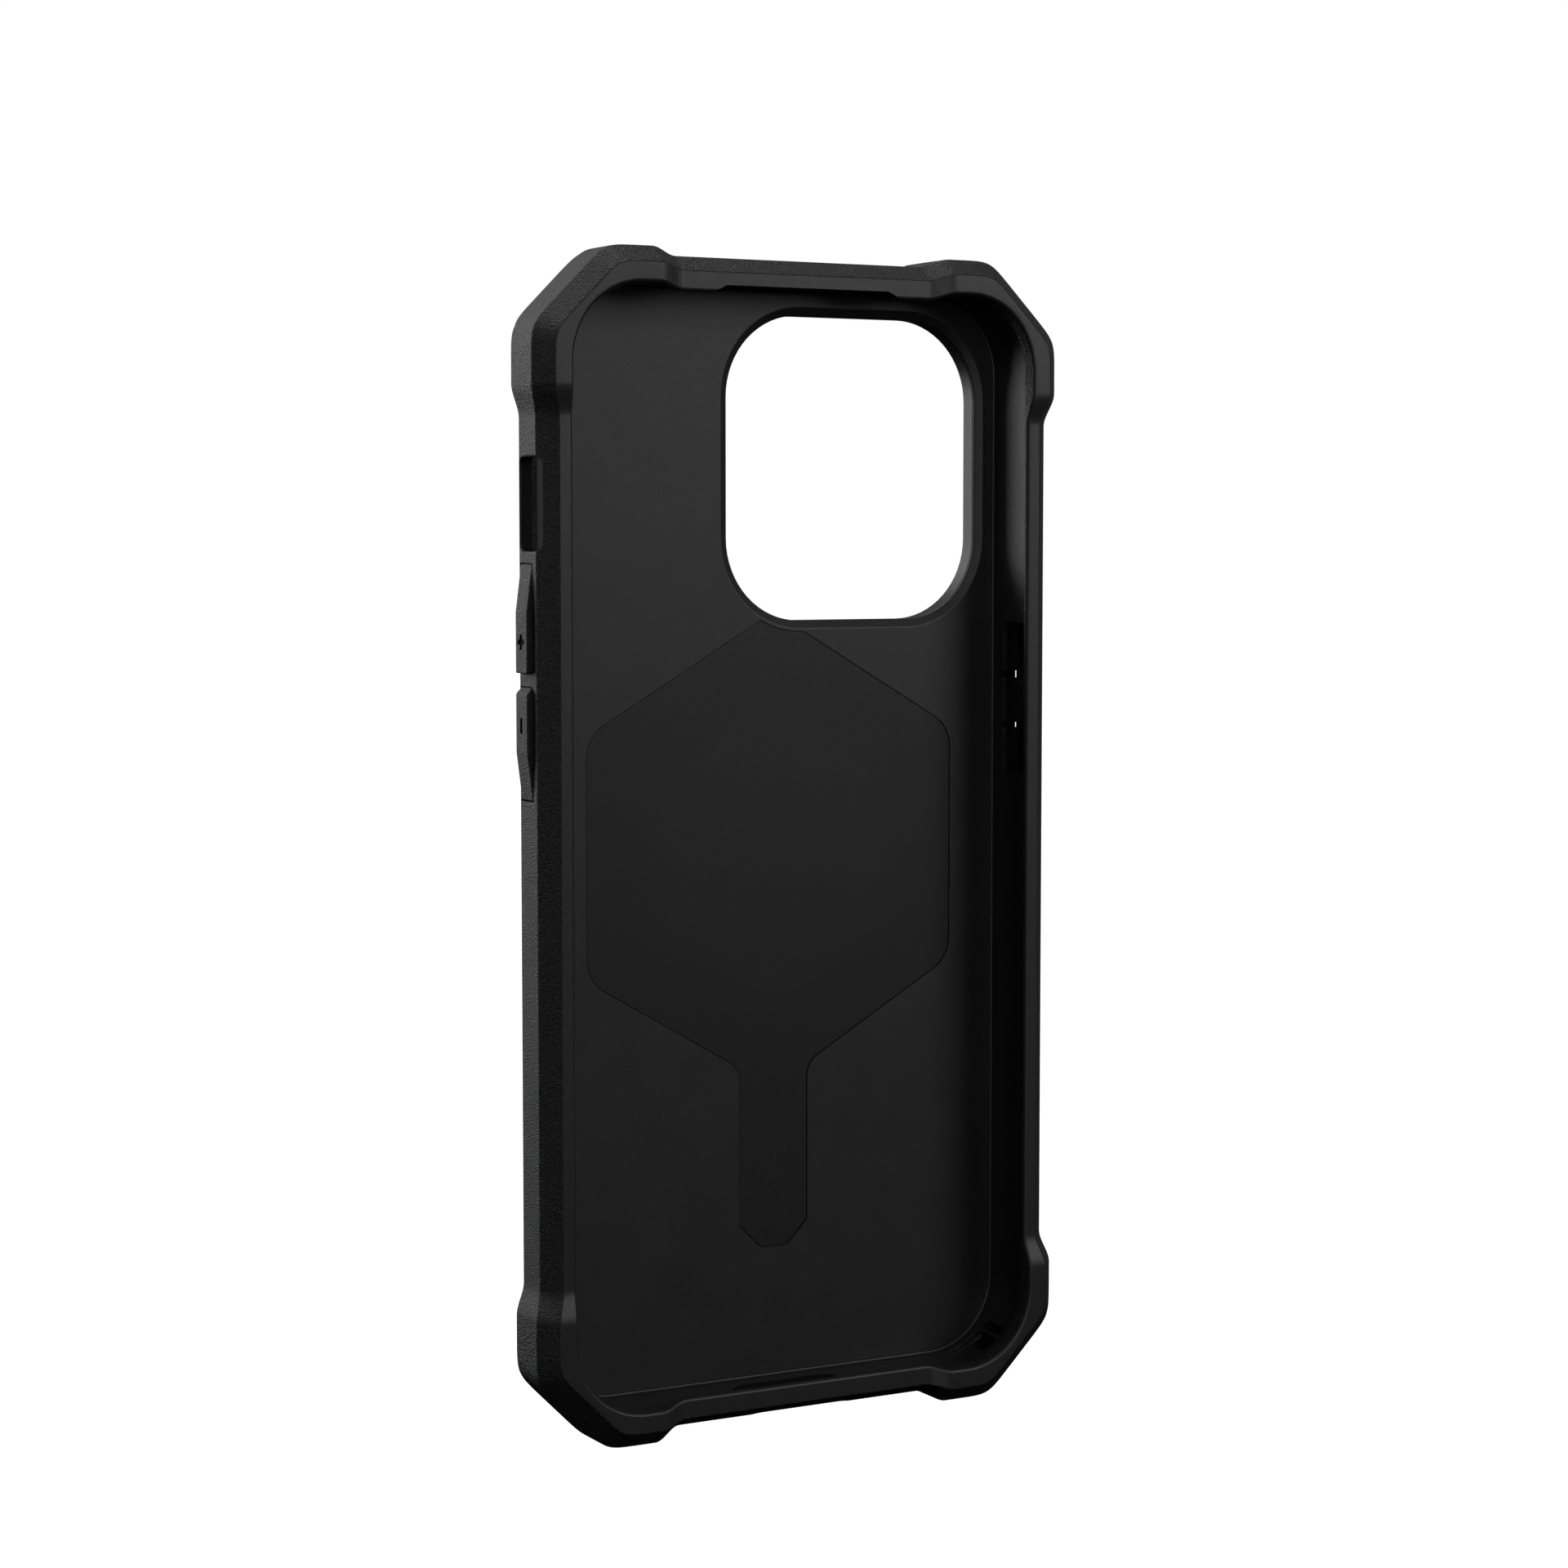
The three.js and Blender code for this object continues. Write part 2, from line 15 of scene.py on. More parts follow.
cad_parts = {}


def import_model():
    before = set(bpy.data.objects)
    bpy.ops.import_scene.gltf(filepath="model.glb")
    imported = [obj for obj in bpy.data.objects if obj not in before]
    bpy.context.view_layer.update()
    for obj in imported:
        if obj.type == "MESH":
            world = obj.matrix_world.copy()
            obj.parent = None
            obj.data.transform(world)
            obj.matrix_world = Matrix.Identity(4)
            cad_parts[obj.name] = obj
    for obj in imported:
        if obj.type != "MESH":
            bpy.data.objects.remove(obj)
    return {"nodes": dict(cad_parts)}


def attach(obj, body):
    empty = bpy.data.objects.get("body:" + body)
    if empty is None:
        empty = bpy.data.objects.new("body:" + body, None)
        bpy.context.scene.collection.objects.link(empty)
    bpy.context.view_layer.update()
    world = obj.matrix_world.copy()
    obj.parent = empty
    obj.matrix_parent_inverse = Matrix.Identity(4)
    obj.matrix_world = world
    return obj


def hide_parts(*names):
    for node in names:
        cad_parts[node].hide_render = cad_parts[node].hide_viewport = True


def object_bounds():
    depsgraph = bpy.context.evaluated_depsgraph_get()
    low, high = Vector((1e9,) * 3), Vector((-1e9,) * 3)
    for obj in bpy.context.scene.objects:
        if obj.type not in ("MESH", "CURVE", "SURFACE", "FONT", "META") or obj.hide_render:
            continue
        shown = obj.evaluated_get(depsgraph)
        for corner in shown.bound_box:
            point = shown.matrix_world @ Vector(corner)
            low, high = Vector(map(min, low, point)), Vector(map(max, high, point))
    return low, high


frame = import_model()
CAD_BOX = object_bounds()

# ---------------------------------------------------------------- drawing dimensions, in mm

MM = 0.001
DRAWING_ORIGIN = Vector((0, -6.105, 78.1))  # of the drawing, in the row frame


class Outline(NamedTuple):
    """Half sizes of an outline on the rails and at the corner bumpers.

    A diagonal is |x| + |z| on the flat face of a corner, at the top or the bottom. 0 makes the corners round.
    """

    rail_x: float
    rail_top: float
    rail_bottom: float
    bumper_x: float
    bumper_z: float
    diagonal_top: float = 0
    diagonal_bottom: float = 0


LIP = Outline(34.72, 72.75, 72.75, 35.05, 73.7)
LIP_BACK_EDGE = Outline(34.25, 72.3, 72.3, 34.2, 72.85)
RIDGE = Outline(36.27, 75.05, 75.05, 37.25, 75.95, 104.05, 104.05)
OUTER = Outline(38.5, 77.0, 76.5, 39.5, 78.1, 107.1, 107.6)
HEEL = Outline(35.9, 74.4, 74.4, 36.9, 78.1, 105.4, 106.0)
CAVITY = Outline(35.9, 74.3, 74.3, 35.9, 74.3)

SPINE = Vector((24.7, 63.1))  # the corner curves are drawn round the corners of this rectangle
SIDE_RAMP = (56.0, 60.4)
END_RAMP = (18.3, 22.4)
RAMP_STEPS = 14
CORNER_STEPS = 44
CORNER_SHARPNESS = 24
ARC_STEPS = 5

BUMPER_FRONT = -1.06
LIP_BACK = 0.95
LIP_ROLL = 0.35  # how far the lip's rounded inner edge reaches past the flat lip face
CHAMFER = 2.45
SIDE_BACK = 7.5
FLOOR = 9.78
LINER_BACK = 10.6
SEAT = 10.5
RAIL_BACK = 10.7
BUMPER_BACK = 12.6
SHELL_FRONT = 10.7
SHELL_BACK = 12.4
BEZEL_BACK = 13.27
FOOT = 1.15  # width of the frame's foot under the edge of the floor
WALL_CURVE = 0.8  # how far the wall curves in towards the floor, as the phone's side does
WALL_BEND = 5.0  # depth of the middle of that curve
WALL_BEND_RADIUS = 22
FILLET = 0.3
SHELL_SEAT_INSET = 0.2
SHELL_EDGE_WIDTH = 2.1
SHELL_EDGE_FRONT = 11.2
SHELL_EDGE_STEPS = 8
BACK_GROOVE_OFFSET = 1.0  # from the film's outline to the groove in the back
BACK_GROOVE_WIDTH = 0.7
BACK_GROOVE_DEPTH = 0.25

LAYER_GAP = 0.1
BUTTON_GAP = 0.15
BUTTON_TRAVEL = 0.4
SEAM = 0.09  # visible gap round a button and round the film
OVERLAP = 0.1  # of joined bodies
THROUGH = 6.0  # reach of a cutter past the wall that it opens
OVERCUT = 1  # how far a cutter runs past a flat face that it cuts
EDGE = 0.3  # usual rounding of a moulded edge

CAMERA_CENTRE = Vector((12.6, 50.04))
CAMERA_HALF = Vector((19.49, 20.47))
CAMERA_RADIUS = 11.1
CAMERA_SLOPE = 1.1  # width of the sloping rim in the floor
CAMERA_SLOPE_DEPTH = 0.55
CAMERA_SLOPE_ROUNDING = (0.6, 0.25)  # at the slope's outer and inner edge
BEZEL_WALL = 0.9
BEZEL_FLANGE = 1.9

NOTCH_Z = 73.35
NOTCH_HALF = 12.2
NOTCH_SLOPE = 1.2

RING_Z = -1.5
COVER_APOTHEM = 28.03
COVER_CORNER = 5.0
COVER_STEM = 5.27
COVER_BOTTOM = -55.7
COVER_STEM_CUT = 3.2
COVER_STEM_ROUNDING = 0.4
COVER_FILLET = 3.2
COVER_FRONT = FLOOR + 0.1
COVER_RIM_CLEARANCE = 0.36
FILM_THICKNESS = 0.28
FILM_EDGE = 0.04
FILM_BED_GAP = 0.02
WINDOW_APOTHEM = 19.47  # of the hexagon inside the film, which has another finish
WINDOW_BLEND = 0.1
WINDOW_CORNER = 2  # how softly the hexagon's corners are rounded

SWITCH_Y = (1.7, 7.3)
SWITCH_Z = (39.0, 51.0)
SWITCH_STEP_X = 36.8  # the opening is wider from here inwards
SWITCH_INNER_BACK = 9.0
SWITCH_INNER_MARGIN = 0.4
SWITCH_ROUNDING = 1.0
WINDOW_ROUNDING = 0.1  # of the windows that the buttons stand in
WINDOW_LIP = 0.05
PAD_Y = (3.6, 7.1)
PAD_HEIGHT = 0.8
GLYPH_Y = 5.4
GLYPH_ARM = 1.0
GLYPH_STROKE = 0.34
GLYPH_DEPTH = 0.3
FLANGE_X = (36.5, 37.1)
FLANGE_MARGIN = 0.5
NUB_X = 36.2
NUB_HALF = 1.6
NUB_INSET = 0.6
BUTTON_EDGE = 0.22
INNER_EDGE = 0.15  # rounding of the flange, the nub and the stem


class Pad(NamedTuple):
    """A raised button seen from the side: its ends, and the ends of its level crest."""

    z: tuple
    crest: tuple
    glyph_z: float = 0


VOLUME_UP = Pad((23.4, 37.4), (23.4, 31.2), 27.4)
VOLUME_DOWN = Pad((7.0, 21.6), (13.3, 20.8), 16.7)
POWER = Pad((9.0, 28.0), (11.0, 26.0))
POWER_STEM_Z = (15.4, 21.0)
POWER_BAR_X = 38.0
POWER_NUB_X = 36.1
POWER_RECESS = ((3.0, 7.8), (8.0, 29.0), 36.75)
POWER_POCKETS = (((3.2, 5.9), (8.2, 14.2), 37.1), ((3.2, 5.9), (23.0, 28.8), 37.1))
RELIEF_SLITS = (((6.4, 8.3), (14.3, 15.1)), ((6.4, 8.3), (21.25, 22.3)))

PORT_HALF = 8.5
PORT_Y = (2.1, 7.9)
PORT_ROUNDING = 0.49  # share of the height, so nearly a half circle at each end
# Slots of the lanyard loop: the angle round the corner, the width and the depths.
LANYARD_SLOTS = ((-39.5, 1.4, (3.9, 8.0)), (-52.5, 2.6, (4.1, 7.9)))
LANYARD_ROUNDING = 0.6
CORNER_RIBS = ((8.4, (-82, -45)), (7.4, (-80, -48)))  # thin ribs beside the slots: depth, angles
RIB_HEIGHT = 0.26
RIB_TAPER = 0.17  # share of a rib's length that each end takes to fade out
TRACTION_GROOVES = (29.9, 31.4, 33.2)  # distances from the middle, on the back of the bottom corner faces
TRACTION_RADIUS = 0.45
TRACTION_SIDES = 12


def drawn(x, y, z):
    """A point of the drawing, in metres in the row frame."""
    return (Vector((x, y, z)) + DRAWING_ORIGIN) * MM


def grow(span, margin):
    return (span[0] - margin, span[1] + margin)


def lerp(a, b, t):
    return a + (b - a) * t


# ---------------------------------------------------------------- outlines round the case


class Station(NamedTuple):
    base: Vector
    outward: Vector
    bump: float


def reach(outline, station):
    """Distance from the spine to an outline at a station."""
    outward, bump = station.outward, station.bump
    rail_z = outline.rail_bottom if outward.y < 0 else outline.rail_top
    width = lerp(outline.rail_x, outline.bumper_x, bump) - SPINE.x
    height = lerp(rail_z, outline.bumper_z, bump) - SPINE.y
    across, along = abs(outward.x), abs(outward.y)
    if not outline.diagonal_top:
        return 1 / math.hypot(across / width, along / height)
    diagonal = outline.diagonal_bottom if outward.y < 0 else outline.diagonal_top
    diagonal -= SPINE.x + SPINE.y
    faces = (across / width, along / height, (across + along) / diagonal)
    return sum(face**CORNER_SHARPNESS for face in faces) ** (-1 / CORNER_SHARPNESS)


def ramp_stops(ramp):
    """Places along a side, from its middle, with how far each has risen from rail to bumper."""
    rising = []
    for step in range(RAMP_STEPS + 1):
        t = step / RAMP_STEPS
        rising.append((lerp(*ramp, t), t * t * (3 - 2 * t)))
    falling = [(-at, bump) for at, bump in reversed(rising)]
    return falling + rising


def perimeter():
    """Stations all round the case, anticlockwise from the lower end of the right side."""
    stations = []
    for side in range(4):
        start = side * math.pi / 2
        outward = Vector((round(math.cos(start)), round(math.sin(start))))
        along = Vector((-outward.y, outward.x))
        middle = outward * SPINE
        corner = (along + outward) * SPINE
        for at, bump in ramp_stops(END_RAMP if side % 2 else SIDE_RAMP):
            stations.append(Station(middle + along * at, outward, bump))
        for step in range(CORNER_STEPS + 1):
            angle = start + step / CORNER_STEPS * math.pi / 2
            direction = Vector((math.cos(angle), math.sin(angle)))
            stations.append(Station(corner, direction, 1))
    return stations


STATIONS = perimeter()


def loop(outline, depth, inset=0):
    """One loop of points round the case, at a depth."""
    points = []
    for station in STATIONS:
        x, z = station.base + station.outward * (reach(outline, station) - inset)
        points.append(drawn(x, depth, z))
    return points


def arc(corner, before, after, radius, steps=ARC_STEPS):
    """Points of the arc that rounds a corner of a flat outline."""
    to_before = (before - corner).normalized()
    to_after = (after - corner).normalized()
    half = to_before.angle(to_after) / 2
    centre = corner + (to_before + to_after).normalized() * (radius / math.sin(half))
    tangent = radius / math.tan(half)
    start = corner + to_before * tangent - centre
    end = corner + to_after * tangent - centre
    turn = start.angle(end)
    points = []
    for step in range(steps + 1):
        t = step / steps
        from_start, from_end = math.sin((1 - t) * turn), math.sin(t * turn)
        points.append(centre + (start * from_start + end * from_end) / math.sin(turn))
    return points


def rounded(corners, steps=ARC_STEPS):
    """A closed outline from (point, radius) corners; a radius of 0 keeps the corner sharp."""
    points = []
    for i, (corner, radius) in enumerate(corners):
        before, after = corners[i - 1][0], corners[(i + 1) % len(corners)][0]
        points += arc(corner, before, after, radius, steps) if radius else [corner]
    return points


def rounded_rectangle(low, high, radius, steps=ARC_STEPS):
    corners = [(high.x, low.y), (high.x, high.y), (low.x, high.y), (low.x, low.y)]
    return rounded([(Vector(corner), radius) for corner in corners], steps)


def camera_outline(margin):
    half = CAMERA_HALF + Vector((margin, margin))
    low, high = CAMERA_CENTRE - half, CAMERA_CENTRE + half
    return rounded_rectangle(low, high, CAMERA_RADIUS + margin, steps=16)


# ---------------------------------------------------------------- meshes


def mesh_object(name, mesh):
    made = bpy.data.objects.new(name, mesh)
    bpy.context.scene.collection.objects.link(made)
    return made


def build(name, bm):
    """A new object from a bmesh, with its normals outwards."""
    bmesh.ops.recalc_face_normals(bm, faces=bm.faces)
    mesh = bpy.data.meshes.new(name)
    bm.to_mesh(mesh)
    bm.free()
    return mesh_object(name, mesh)


def bridge(bm, loops, closed=False, zones=None):
    """Joins loops of points with the same count. An open stack is capped; zones are material numbers."""
    rings = [[bm.verts.new(point) for point in points] for points in loops]
    pairs = list(zip(rings, rings[1:]))
    if closed:
        pairs.append((rings[-1], rings[0]))
    for near, far in pairs:
        for i in range(len(near)):
            following = (i + 1) % len(near)
            face = bm.faces.new((near[i], near[following], far[following], far[i]))
            face.material_index = zones[i] if zones else 0
    if not closed:
        bm.faces.new(rings[0])
        bm.faces.new(rings[-1])


def stack(name, loops):
    bm = bmesh.new()
    bridge(bm, loops)
    return build(name, bm)


def evaluated(obj):
    """Applies an object's modifiers."""
    depsgraph = bpy.context.evaluated_depsgraph_get()
    mesh = bpy.data.meshes.new_from_object(obj.evaluated_get(depsgraph))
    obj.modifiers.clear()
    obj.data = mesh
    return obj


def cut(obj, cutters):
    """Takes the cutters away from an object, and removes them."""
    for cutter in cutters:
        boolean = obj.modifiers.new("cut", "BOOLEAN")
        boolean.operation = "DIFFERENCE"
        boolean.solver = "EXACT"
        boolean.object = cutter
    evaluated(obj)
    for cutter in cutters:
        bpy.data.objects.remove(cutter)
    return obj


def bevelled(obj, width, segments=3, angle=25):
    bevel = obj.modifiers.new("bevel", "BEVEL")
    bevel.width = width * MM
    bevel.segments = segments
    bevel.limit_method = "ANGLE"
    bevel.angle_limit = math.radians(angle)
    bevel.harden_normals = False
    return evaluated(obj)


def merged(name, parts):
    """One object from several, which may run into each other."""
    bm = bmesh.new()
    for part in parts:
        bm.from_mesh(part.data)
        bpy.data.objects.remove(part)
    return build(name, bm)


def smooth(obj, angle=32):
    """Smooth shading that keeps sharp edges sharp, and flat faces flat beside their rounded edges."""
    obj.data.shade_smooth()
    obj.data.set_sharp_from_angle(angle=math.radians(angle))
    weights = obj.modifiers.new("weights", "WEIGHTED_NORMAL")
    weights.keep_sharp = True
    return evaluated(obj)


def with_recess_shade(cutter, limit=math.inf):
    """Gives a cutter's faces the recess material, whose darker colour is painted shade, up to a distance from
    the middle plane of the case.
    """
    for face in cutter.data.polygons:
        if abs(face.center.x) < limit * MM:
            face.material_index = RECESS
    return cutter


def plate(name, outline, front, back, edge=0):
    """A plate drawn in X and Z between two depths, with rounded edges."""
    bm = bmesh.new()
    bridge(bm, [[drawn(x, depth, z) for x, z in outline] for depth in (front, back)])
    made = build(name, bm)
    return bevelled(made, edge, angle=60) if edge else made


def block(name, x, y, z, edge=0):
    outline = [Vector((x[0], z[0])), Vector((x[1], z[0])), Vector((x[1], z[1])), Vector((x[0], z[1]))]
    return plate(name, outline, *y, edge)


def wall_cutter(name, side, y, z, x, radius, lip=EDGE):
    """A hole along X in a side wall, from x[0] inside to x[1] at the face, with a rounded mouth."""
    stages = [(x[1] + THROUGH, lip)]
    for step in range(ARC_STEPS + 1):
        angle = step / ARC_STEPS * math.pi / 2
        stages.append((x[1] - lip * (1 - math.cos(angle)), lip * (1 - math.sin(angle))))
    stages.append((x[0], 0))
    loops = []
    for at, margin in stages:
        low = Vector((y[0] - margin, z[0] - margin))
        high = Vector((y[1] + margin, z[1] + margin))
        outline = rounded_rectangle(low, high, radius + margin)
        loops.append([drawn(side * at, depth, height) for depth, height in outline])
    return with_recess_shade(stack(name, loops), x[1] - lip)


# ---------------------------------------------------------------- soft bumper frame

# The RECESS slot's darker colour is painted shade on the walls of the cut-outs.
GRAIN, SATIN, RECESS = 0, 1, 2  # material slots of the frame

# Corners of the frame's section, from the lip's inner edge round the outside and back: the outline and the
# distance inside it, the depth on a rail and at a bumper, the rounding, and the finish of the next face.
FRAME_SECTION = (
    (LIP, LIP_ROLL, (0, BUMPER_FRONT), 0.5, SATIN),
    (RIDGE, 0, (0, BUMPER_FRONT), 0.25, GRAIN),
    (OUTER, 0, (CHAMFER, BUMPER_FRONT + CHAMFER), 0.35, GRAIN),
    (OUTER, 0, (SIDE_BACK, SIDE_BACK), 0.8, GRAIN),
    (HEEL, 0, (RAIL_BACK, BUMPER_BACK), 0.5, GRAIN),
    (CAVITY, SHELL_SEAT_INSET, (RAIL_BACK, BUMPER_BACK), 0.15, SATIN),
    (CAVITY, SHELL_SEAT_INSET, (SEAT, SEAT), 0, SATIN),
    (CAVITY, FOOT, (SEAT, SEAT), 0, SATIN),
    (CAVITY, FOOT, (FLOOR, FLOOR), 0, SATIN),
    (CAVITY, WALL_CURVE, (FLOOR, FLOOR), FILLET, SATIN),
    (CAVITY, 0, (WALL_BEND, WALL_BEND), WALL_BEND_RADIUS, SATIN),
    (CAVITY, 0, (LIP_BACK, LIP_BACK), 0.2, SATIN),
    (LIP_BACK_EDGE, 0, (LIP_BACK, LIP_BACK), 0.3, GRAIN),
)


def frame_ring():
    zones = []
    for _, _, _, radius, finish in FRAME_SECTION:
        zones += [finish] * (ARC_STEPS + 1 if radius else 1)
    loops = []
    for station in STATIONS:
        corners = []
        for outline, inset, (rail, bumper), radius, _ in FRAME_SECTION:
            distance = reach(outline, station) - inset
            corners.append((Vector((distance, lerp(rail, bumper, station.bump))), radius))
        section = []
        for distance, depth in rounded(corners):
            x, z = station.base + station.outward * distance
            section.append(drawn(x, depth, z))
        loops.append(section)
    bm = bmesh.new()
    bridge(bm, loops, closed=True, zones=zones)
    return build("frame_body", bm)


def port_cutter():
    low, high = Vector((-PORT_HALF, PORT_Y[0])), Vector((PORT_HALF, PORT_Y[1]))
    loops = []
    face = OUTER.rail_bottom
    radius = (high.y - low.y) * PORT_ROUNDING
    for z, margin in ((face + THROUGH, EDGE), (face, EDGE), (face - EDGE, 0), (LIP.rail_bottom, 0)):
        spread = Vector((margin, margin))
        outline = rounded_rectangle(low - spread, high + spread, radius + margin, steps=12)
        loops.append([drawn(x, depth, -z) for x, depth in outline])
    return with_recess_shade(stack("port_cutter", loops))


def notch_cutter():
    low = LIP.rail_top - NOTCH_SLOPE
    foot = NOTCH_HALF + NOTCH_SLOPE * (NOTCH_Z - low) / (NOTCH_Z - LIP.rail_top)
    outline = [(-foot, low), (foot, low), (NOTCH_HALF, NOTCH_Z), (-NOTCH_HALF, NOTCH_Z)]
    return plate("notch_cutter", outline, BUMPER_FRONT - OVERCUT, LIP_BACK + OVERCUT)


def round_corner(obj, angle):
    """Turns a mesh drawn round the origin about Y, and moves it to the bottom right corner of the spine."""
    turn = Matrix.Rotation(-math.radians(angle), 4, "Y")
    to_spine = Matrix.Translation(drawn(SPINE.x, 0, -SPINE.y)) @ turn @ Matrix.Translation(-drawn(0, 0, 0))
    obj.data.transform(to_spine)
    return obj


def lanyard_cutter(angle, width, y):
    wall = CAVITY.rail_x - SPINE.x
    low, high = Vector((y[0], -width / 2)), Vector((y[1], width / 2))
    outline = rounded_rectangle(low, high, LANYARD_ROUNDING)
    ends = (wall - OVERCUT, wall + THROUGH)
    slot = stack("lanyard_cutter", [[drawn(x, depth, z) for depth, z in outline] for x in ends])
    return with_recess_shade(round_corner(slot, angle))


def corner_rib(depth, angles):
    """A thin rib on the wall of the bottom right corner, tapering off at both ends."""
    curve = WALL_CURVE * (depth - WALL_BEND) / (FLOOR - WALL_BEND)
    wall = CAVITY.rail_x - SPINE.x - curve
    loops = []
    for step in range(CORNER_STEPS + 1):
        t = step / CORNER_STEPS
        angle = math.radians(lerp(*angles, t))
        height = RIB_HEIGHT * min(1, t / RIB_TAPER, (1 - t) / RIB_TAPER)
        section = [(wall + EDGE, -RIB_HEIGHT), (wall - height, 0), (wall + EDGE, RIB_HEIGHT)]
        loops.append([
            drawn(SPINE.x + radius * math.cos(angle), depth + offset, -SPINE.y + radius * math.sin(angle))
            for radius, offset in section
        ])
    return stack("corner_rib", loops)


def traction_cutter(side, x):
    """A groove on the back of a bottom corner's diagonal face, square to the face's edge."""
    circle = []
    for step in range(TRACTION_SIDES):
        angle = step / TRACTION_SIDES * math.tau
        circle.append((TRACTION_RADIUS * math.cos(angle), TRACTION_RADIUS * math.sin(angle)))
    front = (SIDE_BACK, OUTER.diagonal_bottom + TRACTION_RADIUS)
    back = (BUMPER_BACK + OVERCUT, HEEL.diagonal_bottom)
    return stack("traction_groove", [
        [drawn(side * (x + across), depth, x + along - diagonal) for across, along in circle]
        for depth, diagonal in (front, back)
    ])


def switch_cutters():
    """The switch opening, which is wider inside."""
    inner_y = (SWITCH_Y[0], SWITCH_INNER_BACK)
    inner_x = (-SWITCH_STEP_X, -LIP.rail_x)
    return [
        wall_cutter("switch_outer", -1, SWITCH_Y, SWITCH_Z, (LIP.rail_x, OUTER.rail_x), SWITCH_ROUNDING),
        block("switch_inner", inner_x, inner_y, grow(SWITCH_Z, SWITCH_INNER_MARGIN)),
    ]


def pad_cutters(pad):
    """A volume pad's window through the wall, and the pocket for its flange."""
    margin = FLANGE_MARGIN + BUTTON_GAP
    window = (grow(PAD_Y, SEAM), grow(pad.z, SEAM))
    pocket_x = (-FLANGE_X[1] - BUTTON_GAP, -LIP.rail_x)
    return [
        wall_cutter("window", -1, *window, (LIP.rail_x, OUTER.rail_x), WINDOW_ROUNDING, WINDOW_LIP),
        block("pocket", pocket_x, grow(PAD_Y, margin), grow(pad.z, margin)),
    ]


def power_cutters():
    """The power button's seat, its stem's window, the recess and pockets inside, and the relief slits."""
    face, inner = OUTER.rail_x, LIP.rail_x
    seat = (grow(PAD_Y, SEAM), grow(POWER.z, SEAM))
    seat_x = (POWER_BAR_X - BUTTON_TRAVEL - BUTTON_GAP, face)
    stem = (grow(PAD_Y, BUTTON_GAP), grow(POWER_STEM_Z, BUTTON_GAP))
    recess_y, recess_z, recess_x = POWER_RECESS
    cutters = [
        wall_cutter("seat", 1, *seat, seat_x, WINDOW_ROUNDING, WINDOW_LIP),
        with_recess_shade(block("stem_window", (inner, face), *stem)),
        block("recess", (inner, recess_x), recess_y, recess_z),
    ]
    for y, z, pocket_x in POWER_POCKETS:
        cutters.append(with_recess_shade(block("pocket", (inner, pocket_x), y, z)))
    for y, z in RELIEF_SLITS:
        cutters.append(with_recess_shade(block("slit", (inner, face + THROUGH), y, z)))
    return cutters


def bumper_frame():
    cutters = [notch_cutter(), port_cutter(), *switch_cutters()]
    cutters += [*pad_cutters(VOLUME_UP), *pad_cutters(VOLUME_DOWN), *power_cutters()]
    cutters += [lanyard_cutter(*slot) for slot in LANYARD_SLOTS]
    cutters += [traction_cutter(side, x) for side in (-1, 1) for x in TRACTION_GROOVES]
    body = cut(frame_ring(), cutters)
    return smooth(merged("bumper_frame_fine", [body] + [corner_rib(*rib) for rib in CORNER_RIBS]))


# ---------------------------------------------------------------- buttons

# The sunk sign takes the recess material, whose darker colour is painted shade in it.
SUNK_SIGN_SHADE = 1  # material slot of the sunk sign on a volume pad


def pad_body(name, pad, side, inner):
    """A button's outside: level along its crest, and falling to the side face at its ends."""
    face = OUTER.rail_x
    top = face + PAD_HEIGHT
    outline = [(inner, pad.z[0]), (face, pad.z[0]), (top, pad.crest[0])]
    outline += [(top, pad.crest[1]), (face, pad.z[1]), (inner, pad.z[1])]
    if pad.crest[0] == pad.z[0]:
        outline.remove((face, pad.z[0]))
    return plate(name, [(side * x, z) for x, z in outline], *PAD_Y)


def glyph_cutters(glyph_z, is_plus, side):
    """Cutters that sink a plus or minus sign into a pad's crest."""
    crest = OUTER.rail_x + PAD_HEIGHT
    x = sorted((side * (crest - GLYPH_DEPTH), side * (crest + OVERCUT)))
    stroke, arm = GLYPH_STROKE, GLYPH_ARM
    bars = [block("glyph", x, grow((GLYPH_Y, GLYPH_Y), stroke), grow((glyph_z, glyph_z), arm))]
    if is_plus:
        bars.append(block("glyph", x, grow((GLYPH_Y, GLYPH_Y), arm), grow((glyph_z, glyph_z), stroke)))
    for bar in bars:
        # The sign's faces get the recess material: its darker colour is painted shade.
        for face in bar.data.polygons:
            face.material_index = SUNK_SIGN_SHADE
    return bars


def volume_pad(name, pad, is_plus):
    body = bevelled(pad_body(name, pad, -1, FLANGE_X[1] - OVERLAP), BUTTON_EDGE, segments=4, angle=3)
    cut(body, glyph_cutters(pad.glyph_z, is_plus, -1))
    middle = sum(pad.z) / 2
    flange_x, nub_x = (-FLANGE_X[1], -FLANGE_X[0]), (-FLANGE_X[0] - OVERLAP, -NUB_X)
    flange = block("flange", flange_x, grow(PAD_Y, FLANGE_MARGIN), grow(pad.z, FLANGE_MARGIN), INNER_EDGE)
    nub_z = grow((middle, middle), NUB_HALF)
    nub = block("nub", nub_x, grow(PAD_Y, -NUB_INSET), nub_z, INNER_EDGE)
    return smooth(merged(name, [body, flange, nub]))


def power_bar():
    body = bevelled(pad_body("power_bar", POWER, 1, POWER_BAR_X), BUTTON_EDGE, segments=4, angle=3)
    stem = block("stem", (POWER_NUB_X, POWER_BAR_X + 2 * OVERLAP), PAD_Y, POWER_STEM_Z, INNER_EDGE)
    return smooth(merged("power_bar", [body, stem]))


# ---------------------------------------------------------------- floor, film, shell and camera rim


